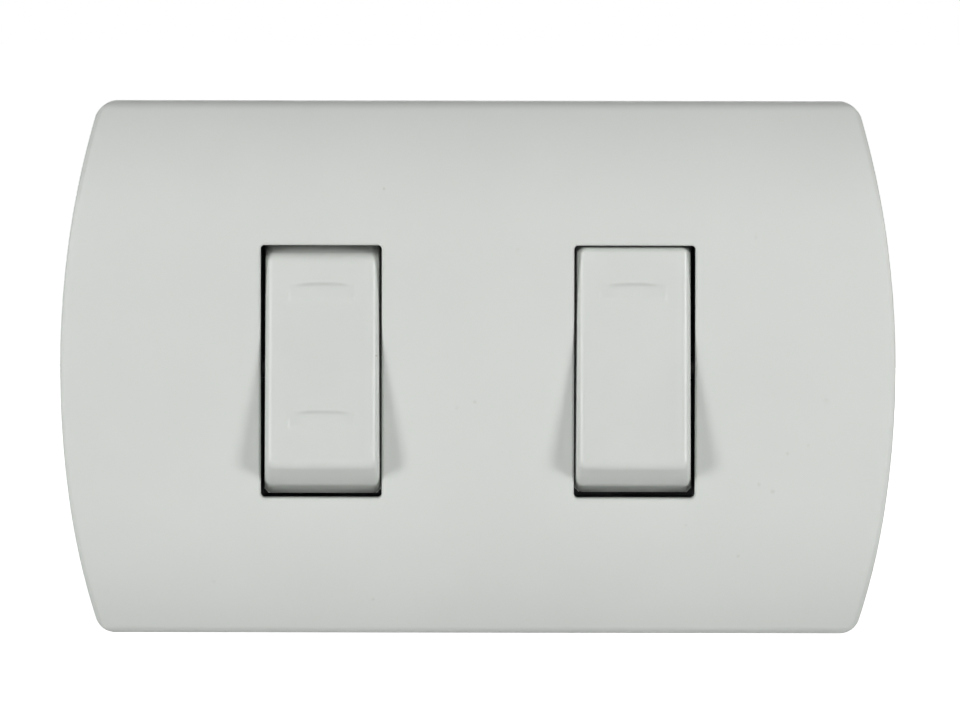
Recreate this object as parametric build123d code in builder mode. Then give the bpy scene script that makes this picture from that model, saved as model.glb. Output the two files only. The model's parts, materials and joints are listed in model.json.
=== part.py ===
from build123d import *
import os
from math import atan, cos, degrees, radians, sin, sqrt, tan

# A wall light switch: a clip-on cover plate over a three-position mounting frame,
# with a two-way rocker module on the left and a one-way rocker module on the right.
# X runs to the right, Z up, the wall is the plane Y = 0 and the front looks along -Y.
# A level is a distance in front of the wall: level 10 lies at Y = -10.
# Both rockers are drawn with their upper end pressed in.

# Rocker
rocker_length = 34.84  # between the creases where the end bevels stop
rocker_front_width = 16.3
rocker_front_rise = 10.2  # from the pivot to the front face
rocker_skirt_rise = 1.5  # from the pivot to the lower rim of the skirt
rocker_flank_draft = 1.5
rocker_end_flare = 0.7
two_way_end_flare = 0.9  # the two-way rocker's skirt stands out further
rocker_bevel_run = 2.42
rocker_bevel_drop = 4.63
two_way_top_run = 2.1
one_way_top_run = 1.03  # the one-way rocker has a steeper upper end
rocker_edge_radius = 1.7  # between the front and an end bevel
one_way_top_radius = 0.9
rocker_crease_radius = 3.5
rocker_wall = 1.5
rocker_tilt = 9.0  # each way from level
rocker_rim_bevel = 0.6  # along the rim of each flank
pivot_depth = 8.5  # pivot behind the plate's front
pin_radius = 1.6
pin_length = 1.9  # beyond the flank
ear_radius = 2.6
tube_radius = 3.0
tube_drop = 1.0  # the plunger tube ends this far behind the pivot
web_thickness = 1.2
web_rise = 3.0

# Finger marks on the rocker
mark_width = 9.8
mark_height = 3.3
mark_crown = 0.3
mark_crown_offset = 0.8  # the crown stands towards the upper edge
mark_end_arch = 0.8  # the ends slope as on an arch of this rise
mark_root = 0.15  # sunk into the front
mark_upper = 9.8
mark_lower = 8.6

# Cover plate
plate_width = 120.0
plate_height = 77.0
plate_depth = 10.0
plate_wall = 2.0
plate_rim_level = 2.5  # the top and bottom walls are straight up to here
plate_edge_radius = 2.4  # top and bottom edges
plate_end_radius = 137.0  # plan of the left and right ends
plate_corner_radius = 3.4
plate_end_bevel = 0.6  # across the front
plate_end_drop = 0.35
corner_trim = 0.03  # the corner rounding starts this far outside the walls
flat_margin = 0.4  # flat band above and below the windows
window_side_gap = 0.55
window_end_gap = 0.78
window_corner_radius = 0.6
window_bevel = 0.2
collar_wall = 1.2
collar_clearance = 0.3
collar_gap = 2.4  # between a collar and the cradle behind it
rib_thickness = 1.0
rib_height = 1.4
rib_spacing = 8.0
pry_notch_width = 8.0
pry_notch_height = 1.4
clip_height = 14.0  # above and below the middle
clip_width = 8.0
clip_thickness = 1.4
clip_hook = 0.6
clip_clearance = 0.25

# Mounting frame
module_pitch = 22.5
module_count = 3
module_gap = 0.5  # between neighbouring modules
seating_play = 0.15  # each module sits this far towards the middle of the frame
frame_margin = 8.0  # from the plate's outline to the frame's
frame_thickness = 1.8
frame_corner_radius = 4.0
frame_flange_height = 4.0
frame_flange_wall = 1.5
frame_rail_rib = 1.2
frame_bead_height = 1.0
opening_clearance = 0.25

# Box screws, M3.5 on the standard spacing of a three-module wall box
box_screw_spacing = 83.5
box_screw_radius = 1.75
box_screw_neck_radius = 1.5
box_screw_length = 19.5
box_screw_head_radius = 3.3
box_screw_head_height = 2.2
box_slot_width = 4.2
box_slot_length = 8.0

# Cradle, the front half of a module
pin_clearance = 0.05
rocker_side_gap = 0.4
rocker_end_gap = 0.6
cradle_end_wall = 1.3
cradle_rim_rise = 2.7  # front rim above the pivot
cradle_flange = 2.35  # rest on the frame's rails, above and below
cradle_flange_thickness = 1.8
cradle_floor = 1.2
floor_clearance = 0.3
stop_clearance = 0.3
stop_length = 3.0
hook_width = 8.0
hook_reach = 0.9
hook_length = 1.6
hook_clearance = 0.2
arm_width = 8.0
arm_length = 7.0
arm_thickness = 0.9
arm_clearance = 0.1
arm_window_width = 4.4
arm_window_height = 2.6
lug_clearance = 0.2

# Base, the rear half of a module
base_wall = 1.6
base_back = 4.0
cell_wall = 1.2
cell_wall_rise = 3.0  # above the terminal feet
blade_stop_height = 3.0
ledge_width = 1.2
foot_clearance = 0.3
base_edge_bevel = 0.8

# Plunger and spring
bore_radius = 2.1
plunger_clearance = 0.1
plunger_reach = 6.0  # from the pivot to the tip
plunger_tip_radius = 0.8
plunger_shoulder_rise = 2.2
plunger_tip_length = 2.0
tip_clearance = 0.1  # at mid travel
spring_wire = 0.45
spring_radius = 1.55
spring_turns = 3
spring_clearance = 0.05
slot_clearance = 0.5

# Contact blade and contacts
blade_thickness = 0.8
blade_width = 6.0
blade_end_width = 4.4
blade_margin = 0.4  # beyond the contacts
blade_bead_radius = 1.2
bead_clearance = 0.05
contact_setback = 4.5  # from the middle of a terminal's foot to its contact
contact_half = 1.5  # half the side of a square contact
contact_height = 0.9
contact_clearance = 0.15
fixed_contact_thickness = 0.6

# Terminals
strip_thickness = 1.2
strip_width = 6.0
pad_thickness = 1.0
pad_margin = 0.4  # beyond the contact
leg_length = 5.0
terminal_end_gap = 1.18  # from an end wall of the base to a terminal's foot
foot_height = 6.4
seat_width = 4.4
seat_height = 4.8
seat_depth = 2.1
seat_lip = 0.5
stem_thickness = 1.6
screw_offset = 4.6
wire_offset = 5.2
wire_radius = 1.8
terminal_screw_radius = 1.75
terminal_head_radius = 3.0
terminal_head_height = 2.2
terminal_screw_tip = 1.6
thread_clearance = 0.05
access_clearance = 0.3
clamp_gap = 0.8
clamp_thickness = 1.0
clamp_margin = 0.5
clamp_hole_clearance = 0.2

# Sizes that follow from those above
pivot_level = plate_depth - pivot_depth
crease_rise = rocker_front_rise - rocker_bevel_drop
draft_slope = tan(radians(rocker_flank_draft))
tilt_sin = sin(radians(rocker_tilt))
tilt_cos = cos(radians(rocker_tilt))
skirt_half = rocker_front_width / 2 + (rocker_front_rise - rocker_skirt_rise) * draft_slope
rocker_reach = rocker_length / 2 * tilt_cos + crease_rise * tilt_sin
skirt_end = rocker_length / 2 + max(rocker_end_flare, two_way_end_flare)
skirt_dip = skirt_end * tilt_sin - rocker_skirt_rise * tilt_cos
window_width = rocker_front_width + 2 * window_side_gap
window_height = rocker_length + 2 * window_end_gap
plate_flat_half = window_height / 2 + flat_margin
bow_run = plate_height / 2 - plate_edge_radius - plate_flat_half
bow_slope = 2 * degrees(atan((plate_depth - plate_rim_level - plate_edge_radius) / bow_run))
plate_bow_radius = plate_edge_radius + bow_run / sin(radians(bow_slope))
module_width = module_pitch - module_gap
module_x = module_pitch - seating_play
cavity_width = 2 * (skirt_half + rocker_side_gap)
cavity_height = 2 * (rocker_reach + rocker_end_gap)
cradle_height = cavity_height + 2 * cradle_end_wall
cradle_front = pivot_level + cradle_rim_rise
collar_end = cradle_front + collar_gap
floor_front = pivot_level - ear_radius - floor_clearance
floor_rear = floor_front - cradle_floor
blade_axis = pivot_level - plunger_reach - tip_clearance - blade_thickness
split_level = blade_axis - seat_lip
base_height = cradle_height - 2 * (arm_thickness + arm_clearance)
cell_width = module_width - 2 * base_wall
cell_height = base_height - 2 * base_wall
terminal_offset = cell_height / 2 - terminal_end_gap - foot_height / 2
contact_arm = terminal_offset - contact_setback
blade_length = 2 * (contact_arm + contact_half + blade_margin)
pad_inner = contact_arm - contact_half - pad_margin
contact_drop = contact_height * tilt_cos + (contact_arm + contact_half) * tilt_sin
fixed_face = blade_axis - contact_drop - contact_clearance
pad_front = fixed_face - fixed_contact_thickness
foot_front = pad_front - pad_thickness - leg_length
foot_rear = foot_front - strip_thickness
foot_width = cell_width - 2 * foot_clearance
clamp_front = foot_rear - clamp_gap
clamp_rear = clamp_front - clamp_thickness
clamp_width = cell_width - 2 * ledge_width - 2 * clamp_margin
clamp_height = foot_height - clamp_margin
base_floor = clamp_rear - clamp_margin
base_rear = base_floor - base_back
stop_level = pivot_level - skirt_dip - stop_clearance
arm_window_level = split_level - arm_length / 2
blade_stop = blade_axis - (contact_arm + blade_stop_height / 2) * tilt_sin - contact_clearance
frame_width = plate_width - 2 * frame_margin
frame_height = plate_height - 2 * frame_margin
opening_width = module_count * module_pitch + 2 * opening_clearance
opening_height = cradle_height + 2 * opening_clearance
clip_face = frame_width / 2 + clip_hook + clip_clearance
bead_rear = frame_flange_height - 2 * frame_bead_height


def front_plane(centre_x, level):
    # faces the viewer: local x to the right, local y up, normal to the front
    return Plane(origin=(centre_x, -level, 0), x_dir=(1, 0, 0), z_dir=(0, -1, 0))


def tilted_front_plane(centre_x, level, tilt):
    # as front_plane, with the upper end pressed in by the tilt
    turn = radians(tilt)
    return Plane(origin=(centre_x, -level, 0), x_dir=(1, 0, 0), z_dir=(0, -cos(turn), sin(turn)))


def side_plane(centre_x, level=0.0, tilt=0.0):
    # seen from the right: local x up, local y to the front
    turn = radians(tilt)
    return Plane(origin=(centre_x, -level, 0), x_dir=(0, sin(turn), cos(turn)), z_dir=(1, 0, 0))


def save(part, name):
    part.label = name
    export_step(part, f"parts/{name}.step")


# Cover plate


def plate_section(inset):
    half = plate_height / 2 - inset
    front = plate_depth - inset
    bow = plate_bow_radius - inset
    edge = plate_edge_radius - inset
    with BuildSketch() as section:
        with BuildLine() as outline:
            Polyline((0, 0), (half, 0), (half, plate_rim_level))
            CenterArc((half - edge, plate_rim_level), edge, 0, 90 - bow_slope)
            CenterArc((plate_flat_half, front - bow), bow, 90 - bow_slope, bow_slope)
            Line((plate_flat_half, front), (0, front))
            mirror(outline.line, about=Plane.YZ)
        make_face()
    return section.sketch


def plate_plan(grow, corner_radius):
    half = plate_height / 2
    corner = plate_width / 2 - plate_end_radius + sqrt(plate_end_radius**2 - half**2)
    with BuildSketch() as plan:
        with BuildLine():
            ThreePointArc((corner, -half), (plate_width / 2, 0), (corner, half))
            Line((corner, half), (-corner, half))
            ThreePointArc((-corner, half), (-plate_width / 2, 0), (-corner, -half))
            Line((-corner, -half), (corner, -half))
        make_face()
        if grow != 0:
            offset(amount=grow, kind=Kind.INTERSECTION, mode=Mode.REPLACE)
        if corner_radius > 0:
            fillet(plan.vertices(), corner_radius)
    return plan.sketch


def make_clips():
    # four snap legs that hook behind the beads on the ends of the frame
    leg_end = bead_rear / 3
    with BuildPart() as clips:
        with BuildSketch(front_plane(0, leg_end)):
            with Locations((clip_face + clip_thickness / 2, clip_height)):
                Rectangle(clip_thickness, clip_width)
        extrude(amount=plate_depth - plate_wall / 2 - leg_end)
        with BuildSketch(Plane.XY.offset(clip_height - clip_width / 2)):
            with BuildLine():
                Polyline(
                    (clip_face, -leg_end),
                    (clip_face - clip_hook, -(bead_rear - clip_clearance)),
                    (clip_face, -(bead_rear - clip_clearance)),
                    close=True,
                )
            make_face()
        extrude(amount=clip_width)
        mirror(about=Plane.YZ)
        mirror(about=Plane.XY)
    return clips.part


def make_plate_hollow():
    # the inside of the shell, less the ribs that stiffen it
    with BuildPart() as hollow:
        with BuildSketch(side_plane(0)):
            add(plate_section(plate_wall))
        extrude(amount=plate_width / 2, both=True)
        with BuildSketch(Plane.XZ):
            add(plate_plan(corner_trim - plate_wall, plate_corner_radius - plate_wall))
        extrude(amount=plate_depth, both=True, mode=Mode.INTERSECT)
        with BuildSketch(front_plane(0, plate_depth - plate_wall - rib_height)):
            for side in (-1, 1):
                with Locations((side * box_screw_spacing / 2, 0)):
                    with GridLocations(rib_spacing, 0, 2, 1):
                        Rectangle(rib_thickness, plate_height)
        extrude(amount=plate_depth, mode=Mode.SUBTRACT)
    return hollow.part


with BuildPart() as cover_plate:
    with BuildSketch(side_plane(0)):
        add(plate_section(0))
    extrude(amount=plate_width / 2, both=True)
    with BuildSketch(Plane.XZ):
        add(plate_plan(0, 0))
    extrude(amount=plate_depth, both=True, mode=Mode.INTERSECT)
    for end in (0, -1):
        end_walls = cover_plate.faces().filter_by(GeomType.CYLINDER).group_by(SortBy.RADIUS)[-1]
        end_wall = end_walls.sort_by(Axis.X)[end]
        end_edges = end_wall.edges().filter_by_position(Axis.Y, -plate_depth, 0, (True, False))
        chamfer(end_edges, plate_end_drop, plate_end_bevel, reference=end_wall)
    with BuildSketch(Plane.XZ):
        add(plate_plan(corner_trim, plate_corner_radius))
    extrude(amount=plate_depth, both=True, mode=Mode.INTERSECT)
    add(make_plate_hollow(), mode=Mode.SUBTRACT)
    with BuildSketch(front_plane(0, plate_depth)):
        with GridLocations(2 * module_pitch, 0, 2, 1):
            RectangleRounded(window_width, window_height, window_corner_radius)
    extrude(amount=-plate_depth, mode=Mode.SUBTRACT)
    front_face = cover_plate.faces().sort_by(Axis.Y)[0]
    chamfer(front_face.inner_wires().edges(), window_bevel)
    with BuildSketch(front_plane(0, collar_end)):
        with GridLocations(2 * module_pitch, 0, 2, 1):
            Rectangle(
                window_width + 2 * (collar_clearance + collar_wall),
                window_height + 2 * (collar_clearance + collar_wall),
            )
            Rectangle(
                window_width + 2 * collar_clearance,
                window_height + 2 * collar_clearance,
                mode=Mode.SUBTRACT,
            )
    extrude(amount=plate_depth - plate_wall / 2 - collar_end)
    add(make_clips())
    with BuildSketch(Plane.XZ):
        with Locations((0, -plate_height / 2)):
            Rectangle(pry_notch_width, 4 * plate_wall)
    extrude(amount=pry_notch_height, mode=Mode.SUBTRACT)


# Mounting frame and its screws

with BuildPart() as mounting_frame:
    with BuildSketch(Plane.XZ):
        RectangleRounded(frame_width, frame_height, frame_corner_radius)
    extrude(amount=frame_flange_height)
    with BuildSketch(front_plane(0, frame_thickness)):
        RectangleRounded(
            frame_width - 2 * frame_flange_wall,
            frame_height - 2 * frame_flange_wall,
            frame_corner_radius - frame_flange_wall,
        )
    extrude(amount=frame_flange_height, mode=Mode.SUBTRACT)
    with BuildSketch(front_plane(0, frame_thickness)):
        with GridLocations(0, (frame_height + opening_height) / 2, 1, 2):
            Rectangle(frame_width - frame_flange_wall, frame_rail_rib)
    extrude(amount=frame_flange_height - frame_thickness)
    with BuildSketch(Plane.XZ):
        Rectangle(opening_width, opening_height)
        with GridLocations(box_screw_spacing, 0, 2, 1):
            SlotOverall(box_slot_length, box_slot_width)
    extrude(amount=frame_flange_height, mode=Mode.SUBTRACT)
    with BuildSketch(front_plane(0, bead_rear)):
        with GridLocations(frame_width, 2 * clip_height, 2, 2):
            Rectangle(2 * clip_hook, clip_width)
    extrude(amount=frame_bead_height)

with BuildPart() as box_screws:
    with BuildSketch(Plane.XZ):
        with GridLocations(box_screw_spacing, 0, 2, 1):
            Circle(box_screw_radius)
    extrude(amount=-box_screw_length)
    with BuildSketch(Plane.XZ):
        with GridLocations(box_screw_spacing, 0, 2, 1):
            Circle(box_screw_neck_radius)
    extrude(amount=frame_thickness)
    with BuildSketch(front_plane(0, frame_thickness)):
        with GridLocations(box_screw_spacing, 0, 2, 1):
            Circle(box_screw_head_radius)
    extrude(amount=box_screw_head_height)


# Rocker


def rocker_outline(top_run, end_flare, skirt_drop):
    # side view of a rocker about its pivot, with the skirt made longer by skirt_drop
    crease = rocker_length / 2
    rim = rocker_skirt_rise - skirt_drop
    flare = end_flare * (crease_rise - rim) / (crease_rise - rocker_skirt_rise)
    with BuildSketch() as outline:
        with BuildLine():
            Polyline(
                (crease + flare, rim),
                (crease, crease_rise),
                (crease - top_run, rocker_front_rise),
                (rocker_bevel_run - crease, rocker_front_rise),
                (-crease, crease_rise),
                (-crease - flare, rim),
                close=True,
            )
        make_face()
    return outline.sketch


def rounded_outline(top_run, top_radius, end_flare):
    with BuildSketch() as outline:
        add(rocker_outline(top_run, end_flare, 0))
        fillet(outline.vertices().group_by(Axis.Y)[1], rocker_crease_radius)
        fillet(outline.vertices().group_by(Axis.Y)[-1].sort_by(Axis.X)[0], rocker_edge_radius)
        fillet(outline.vertices().group_by(Axis.Y)[-1].sort_by(Axis.X)[-1], top_radius)
    return outline.sketch


def flank_prism(centre_x, inset, skirt_drop):
    # the space between the two drafted flanks
    rim = rocker_skirt_rise - skirt_drop
    width = 2 * (skirt_half + skirt_drop * draft_slope - inset)
    with BuildPart() as prism:
        with BuildSketch(tilted_front_plane(centre_x, pivot_level, rocker_tilt).offset(rim)):
            Rectangle(width, 2 * rocker_length)
        extrude(amount=rocker_front_rise - rim, taper=rocker_flank_draft)
    return prism.part


def make_rocker_hollow(centre_x, top_run, end_flare):
    with BuildPart() as hollow:
        with BuildSketch(side_plane(centre_x, pivot_level, rocker_tilt)):
            add(rocker_outline(top_run, end_flare, 2 * rocker_wall))
            offset(amount=-rocker_wall, kind=Kind.INTERSECTION, mode=Mode.REPLACE)
        extrude(amount=rocker_front_width, both=True)
        add(flank_prism(centre_x, rocker_wall, 2 * rocker_wall), mode=Mode.INTERSECT)
    return hollow.part


def make_mark(centre_x, height):
    # a low pillow, steeper along its upper edge, that runs out at its lower edge and its ends
    root = rocker_front_rise - mark_root
    half = mark_height / 2
    end = mark_width / 2
    side = side_plane(centre_x, pivot_level, rocker_tilt)
    above = Plane(origin=side.origin, x_dir=(1, 0, 0), z_dir=-side.x_dir)
    with BuildPart() as mark:
        with BuildSketch(side):
            with BuildLine():
                Spline(
                    (height + half, rocker_front_rise),
                    (height + mark_crown_offset, rocker_front_rise + mark_crown),
                    (height - half, rocker_front_rise),
                )
                Polyline(
                    (height - half, rocker_front_rise),
                    (height - half, root),
                    (height + half, root),
                    (height + half, rocker_front_rise),
                )
            make_face()
        extrude(amount=end, both=True)
        with BuildSketch(above):
            with BuildLine():
                ThreePointArc(
                    (-end, rocker_front_rise),
                    (0, rocker_front_rise + mark_end_arch),
                    (end, rocker_front_rise),
                )
                Polyline((end, rocker_front_rise), (end, root), (-end, root), (-end, rocker_front_rise))
            make_face()
        extrude(amount=rocker_length, both=True, mode=Mode.INTERSECT)
    return mark.part


def make_rocker(centre_x, marks, top_run, top_radius, end_flare):
    front = tilted_front_plane(centre_x, pivot_level, rocker_tilt)
    side = side_plane(centre_x, pivot_level, rocker_tilt)
    across = Axis(front.origin, front.x_dir)
    out = Axis(front.origin, front.z_dir)
    with BuildPart() as rocker:
        with BuildSketch(side):
            add(rounded_outline(top_run, top_radius, end_flare))
        extrude(amount=rocker_front_width, both=True)
        add(flank_prism(centre_x, 0, 0), mode=Mode.INTERSECT)
        flanks = rocker.faces().sort_by(across)
        rims = flanks[0].edges() + flanks[-1].edges()
        chamfer(rims.sort_by(out)[2:], rocker_rim_bevel)
        add(make_rocker_hollow(centre_x, top_run, end_flare), mode=Mode.SUBTRACT)
        for height in marks:
            add(make_mark(centre_x, height))
        with BuildSketch(front.offset(-tube_drop)):
            Circle(tube_radius)
        extrude(amount=tube_drop + rocker_front_rise - rocker_wall / 2)
        with BuildSketch(front.offset(web_rise)):
            Rectangle(2 * skirt_half - rocker_wall, web_thickness)
        extrude(amount=rocker_front_rise - rocker_wall / 2 - web_rise)
        with BuildSketch(front.offset(-tube_drop)):
            Circle(bore_radius)
        extrude(amount=tube_drop + rocker_front_rise - rocker_wall, mode=Mode.SUBTRACT)
        for hand in (-1, 1):
            with BuildSketch(side.offset(hand * (skirt_half - rocker_wall))):
                Circle(ear_radius)
                with Locations((0, rocker_skirt_rise)):
                    Rectangle(2 * ear_radius, 2 * rocker_skirt_rise)
            extrude(amount=hand * (rocker_wall - pin_clearance))
            with BuildSketch(side.offset(hand * (skirt_half - rocker_wall))):
                Circle(pin_radius)
            extrude(amount=hand * (rocker_wall + pin_length))
    return rocker.part


# Plunger and spring


def make_plunger(centre_x):
    side = side_plane(centre_x, pivot_level, rocker_tilt)
    body = bore_radius - plunger_clearance
    with BuildPart() as plunger:
        with BuildSketch(side):
            with BuildLine():
                Polyline(
                    (0, -plunger_reach),
                    (plunger_tip_radius, -plunger_reach),
                    (plunger_tip_radius, plunger_tip_length - plunger_reach),
                    (body, plunger_tip_length - plunger_reach),
                    (body, plunger_shoulder_rise),
                    (0, plunger_shoulder_rise),
                    close=True,
                )
            make_face()
        revolve(axis=Axis(side.origin, side.y_dir))
    return plunger.part


def make_spring(centre_x):
    front = tilted_front_plane(centre_x, pivot_level, rocker_tilt)
    seat = plunger_shoulder_rise + spring_clearance + spring_wire / 2
    height = rocker_front_rise - rocker_wall - spring_clearance - spring_wire / 2 - seat
    with BuildPart() as spring:
        with BuildLine() as coil:
            Helix(height / spring_turns, height, spring_radius, front.offset(seat).origin, front.z_dir)
        with BuildSketch(Plane(origin=coil.line @ 0, z_dir=coil.line % 0)):
            RegularPolygon(spring_wire / 2, 4)
        sweep(path=coil.line, is_frenet=True)
    return spring.part


# Contact blade and contacts


def make_blade(centre_x):
    bead = blade_bead_radius
    with BuildPart() as blade:
        with BuildSketch(side_plane(centre_x, blade_axis, -rocker_tilt)):
            with Locations((0, blade_thickness / 2)):
                Rectangle(blade_length, blade_thickness)
            with BuildLine():
                CenterArc((0, 0), bead, 180, 180)
                Line((bead, 0), (-bead, 0))
            make_face()
        extrude(amount=blade_width / 2, both=True)
        with BuildSketch(tilted_front_plane(centre_x, blade_axis, -rocker_tilt)):
            with BuildLine() as edge:
                Polyline(
                    (-blade_width / 2, 0),
                    (-blade_width / 2, blade_width / 2),
                    (-blade_end_width / 2, blade_length / 2),
                    (blade_end_width / 2, blade_length / 2),
                    (blade_width / 2, blade_width / 2),
                    (blade_width / 2, 0),
                )
                mirror(edge.line, about=Plane.XZ)
            make_face()
        extrude(amount=2 * bead, both=True, mode=Mode.INTERSECT)
    return blade.part


def make_blade_contacts(centre_x, ends):
    face = tilted_front_plane(centre_x, blade_axis, -rocker_tilt)
    with BuildPart() as contacts:
        with BuildSketch(face):
            for end in ends:
                with Locations((0, end * contact_arm)):
                    Rectangle(2 * contact_half, 2 * contact_half)
        extrude(amount=-contact_height)
    return contacts.part


def make_fixed_contacts(centre_x, ends):
    with BuildPart() as contacts:
        with BuildSketch(front_plane(centre_x, pad_front)):
            for end in ends:
                with Locations((0, end * contact_arm * tilt_cos)):
                    Rectangle(2 * contact_half, 2 * contact_half)
        extrude(amount=fixed_contact_thickness)
    return contacts.part


# Terminals


def forked_strip(width, depth, height):
    # a flat strip with an open slot for the wire
    slot_half = wire_radius + clamp_hole_clearance
    slot_length = width / 2 - wire_offset + slot_half
    with BuildSketch() as outline:
        with Locations((0, height)):
            Rectangle(width, depth)
        with Locations(((width - slot_length) / 2, height)):
            Rectangle(slot_length, 2 * slot_half, mode=Mode.SUBTRACT)
    return outline.sketch


def foot_outline(height):
    # terminal foot with its threaded hole
    with BuildSketch() as outline:
        add(forked_strip(foot_width, foot_height, height))
        with Locations((-screw_offset, height)):
            Circle(terminal_screw_radius + thread_clearance, mode=Mode.SUBTRACT)
    return outline.sketch


def clamp_outline(height):
    # clamp plate that slides onto its screw from the side
    slot_half = terminal_screw_radius + clamp_hole_clearance
    slot_length = clamp_width / 2 - screw_offset + slot_half
    with BuildSketch() as outline:
        add(forked_strip(clamp_width, clamp_height, height))
        with Locations(((slot_length - clamp_width) / 2, height)):
            Rectangle(slot_length, 2 * slot_half, mode=Mode.SUBTRACT)
    return outline.sketch


def make_contact_terminal(centre_x, end):
    # a bent strip: contact pad, leg and foot
    leg = terminal_offset - foot_height / 2 + strip_thickness / 2
    pad_outer = leg + strip_thickness / 2
    with BuildPart() as terminal:
        with BuildSketch(side_plane(centre_x)):
            with Locations((end * (pad_inner + pad_outer) / 2, pad_front - pad_thickness / 2)):
                Rectangle(pad_outer - pad_inner, pad_thickness)
            with Locations((end * leg, (pad_front + foot_rear) / 2)):
                Rectangle(strip_thickness, pad_front - foot_rear)
        extrude(amount=strip_width / 2, both=True)
        with BuildSketch(front_plane(centre_x, foot_rear)):
            add(foot_outline(end * terminal_offset))
        extrude(amount=strip_thickness)
    return terminal.part


def make_common_terminal(centre_x):
    # a stem with the rounded seat that the blade rocks on
    seat_rear = -seat_lip - seat_depth
    with BuildPart() as terminal:
        with BuildSketch(side_plane(centre_x, blade_axis)):
            with Locations((0, -seat_lip - seat_depth / 2)):
                Rectangle(seat_height, seat_depth)
            Circle(blade_bead_radius + bead_clearance, mode=Mode.SUBTRACT)
            with Locations((0, (seat_rear + foot_rear - blade_axis) / 2)):
                Rectangle(stem_thickness, seat_rear - (foot_rear - blade_axis))
        extrude(amount=seat_width / 2, both=True)
        with BuildSketch(front_plane(centre_x, foot_rear)):
            add(foot_outline(0))
        extrude(amount=strip_thickness)
    return terminal.part


def make_terminal_screws(centre_x, heights):
    with BuildPart() as screws:
        with BuildSketch(front_plane(centre_x, clamp_rear)):
            with Locations(*[(-screw_offset, height) for height in heights]):
                Circle(terminal_head_radius)
        extrude(amount=-terminal_head_height)
        with BuildSketch(front_plane(centre_x, clamp_rear)):
            with Locations(*[(-screw_offset, height) for height in heights]):
                Circle(terminal_screw_radius)
        extrude(amount=foot_front + terminal_screw_tip - clamp_rear)
    return screws.part


def make_wire_clamps(centre_x, heights):
    with BuildPart() as clamps:
        with BuildSketch(front_plane(centre_x, clamp_rear)):
            for height in heights:
                add(clamp_outline(height))
        extrude(amount=clamp_thickness)
    return clamps.part


# Module housing


def make_cradle(centre_x):
    half = cradle_height / 2
    swing = (pivot_level - floor_rear) * tilt_sin
    with BuildPart() as cradle:
        with BuildSketch(front_plane(centre_x, split_level)):
            Rectangle(module_width, cradle_height)
        extrude(amount=cradle_front - split_level)
        with BuildSketch(front_plane(centre_x, frame_thickness)):
            Rectangle(module_width, cradle_height + 2 * cradle_flange)
        extrude(amount=cradle_flange_thickness)
        with BuildSketch(front_plane(centre_x, floor_front)):
            Rectangle(cavity_width, cavity_height)
        extrude(amount=cradle_front - floor_front, mode=Mode.SUBTRACT)
        with BuildSketch(front_plane(centre_x, floor_front)):
            with GridLocations(0, cavity_height - stop_length, 1, 2):
                Rectangle(cavity_width, stop_length)
        extrude(amount=stop_level - floor_front)
        with BuildSketch(front_plane(centre_x, split_level)):
            Rectangle(cell_width, cell_height)
        extrude(amount=floor_rear - split_level, mode=Mode.SUBTRACT)
        with BuildSketch(front_plane(centre_x, floor_rear)):
            Rectangle(2 * (bore_radius + slot_clearance), 2 * (bore_radius + swing + slot_clearance))
        extrude(amount=cradle_floor, mode=Mode.SUBTRACT)
        with BuildSketch(side_plane(centre_x, pivot_level)):
            Circle(pin_radius + pin_clearance)
        extrude(amount=module_width / 2, both=True, mode=Mode.SUBTRACT)
        with BuildSketch(side_plane(centre_x)):
            with BuildLine():
                Polyline(
                    (half - cradle_end_wall / 2, -hook_clearance),
                    (half + hook_reach, -hook_clearance),
                    (half, -hook_clearance - hook_length),
                    (half - cradle_end_wall / 2, -hook_clearance - hook_length),
                    close=True,
                )
            make_face()
            mirror(about=Plane.YZ)
        extrude(amount=hook_width / 2, both=True)
        with BuildSketch(front_plane(centre_x, split_level)):
            with GridLocations(0, cradle_height - arm_thickness, 1, 2):
                Rectangle(arm_width, arm_thickness)
        extrude(amount=-arm_length)
        with BuildSketch(Plane.XY):
            with Locations((centre_x, -arm_window_level)):
                Rectangle(arm_window_width, arm_window_height)
        extrude(amount=cradle_height, both=True, mode=Mode.SUBTRACT)
    return cradle.part


def make_base(centre_x, heights):
    half = base_height / 2
    lug_half = arm_window_height / 2 - lug_clearance
    with BuildPart() as base:
        with BuildSketch(front_plane(centre_x, base_rear)):
            Rectangle(module_width, base_height)
        extrude(amount=split_level - base_rear)
        chamfer(base.faces().sort_by(Axis.Y)[-1].edges(), base_edge_bevel)
        with BuildSketch(front_plane(centre_x, base_floor)):
            Rectangle(cell_width, cell_height)
        extrude(amount=split_level - base_floor, mode=Mode.SUBTRACT)
        with BuildSketch(front_plane(centre_x, base_floor)):
            with GridLocations(cell_width - ledge_width, 0, 2, 1):
                Rectangle(ledge_width, cell_height)
        extrude(amount=foot_rear - base_floor)
        with BuildSketch(front_plane(centre_x, base_floor)):
            with GridLocations(0, terminal_offset, 1, 2):
                Rectangle(cell_width, cell_wall)
        extrude(amount=foot_front + cell_wall_rise - base_floor)
        if terminal_offset not in heights:
            with BuildSketch(front_plane(centre_x, base_floor)):
                with Locations((0, contact_arm)):
                    Rectangle(strip_width, blade_stop_height)
            extrude(amount=blade_stop - base_floor)
        with BuildSketch(front_plane(centre_x, base_rear)):
            with Locations(*[(-screw_offset, height) for height in heights]):
                Circle(terminal_head_radius + access_clearance)
            with Locations(*[(wire_offset, height) for height in heights]):
                Circle(wire_radius)
        extrude(amount=base_back, mode=Mode.SUBTRACT)
        with BuildSketch(side_plane(centre_x, arm_window_level)):
            with BuildLine():
                Polyline(
                    (half - base_wall / 2, lug_half),
                    (half, lug_half),
                    (half + arm_thickness, -lug_half),
                    (half - base_wall / 2, -lug_half),
                    close=True,
                )
            make_face()
            mirror(about=Plane.YZ)
        extrude(amount=arm_window_width / 2 - lug_clearance, both=True)
    return base.part


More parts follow.
